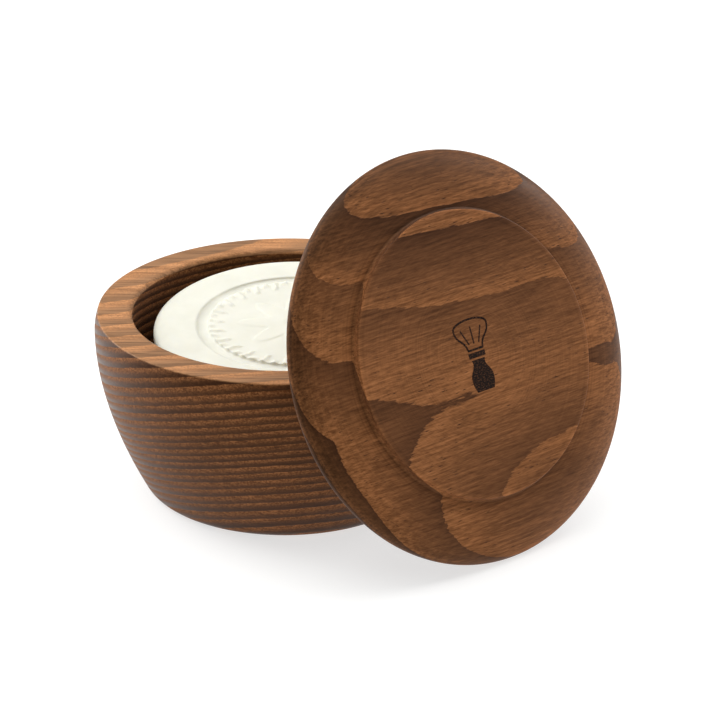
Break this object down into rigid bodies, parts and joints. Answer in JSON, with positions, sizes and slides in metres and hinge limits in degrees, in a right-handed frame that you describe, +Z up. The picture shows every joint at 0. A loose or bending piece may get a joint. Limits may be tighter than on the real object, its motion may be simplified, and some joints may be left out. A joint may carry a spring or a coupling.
{
  "type": "shaving bowl with lid and soap",
  "caption": "Low turned wooden shaving bowl with a round shaving soap in it, and its loose round wooden lid standing on edge against the rim.",
  "frame": {"origin": "centre of the bowl's flat base, on the surface that the bowl stands on", "axes": "+Z up along the bowl's turning axis; +X to the right and -Y to the front of the bowl, and the lid leans on the rim at the front right, 39.8 degrees from -Y towards +X"},
  "size_m": [0.1331, 0.1151, 0.0931],
  "materials": {
    "bowl_wood": "dark heat-treated ring-porous wood, turned, oiled, satin",
    "lid_wood": "dark heat-treated ring-porous wood, flat sawn, turned, oiled, satin",
    "soap": "hard milled soap, ivory white, waxy satin, pressed relief"
  },
  "bodies": {
    "bowl": {"bowl": "bowl_wood"},
    "lid": {"lid": "lid_wood"},
    "soap": {"soap_puck": "soap"}
  },
  "joints": [
    {"name": "lid_lift", "type": "slide", "parent": "bowl", "child": "lid", "axis": [0, 0, 1], "range_m": [0, 0.06]},
    {"name": "soap_lift", "type": "slide", "parent": "bowl", "child": "soap", "axis": [0, 0, 1], "range_m": [0, 0.0255]}
  ]
}
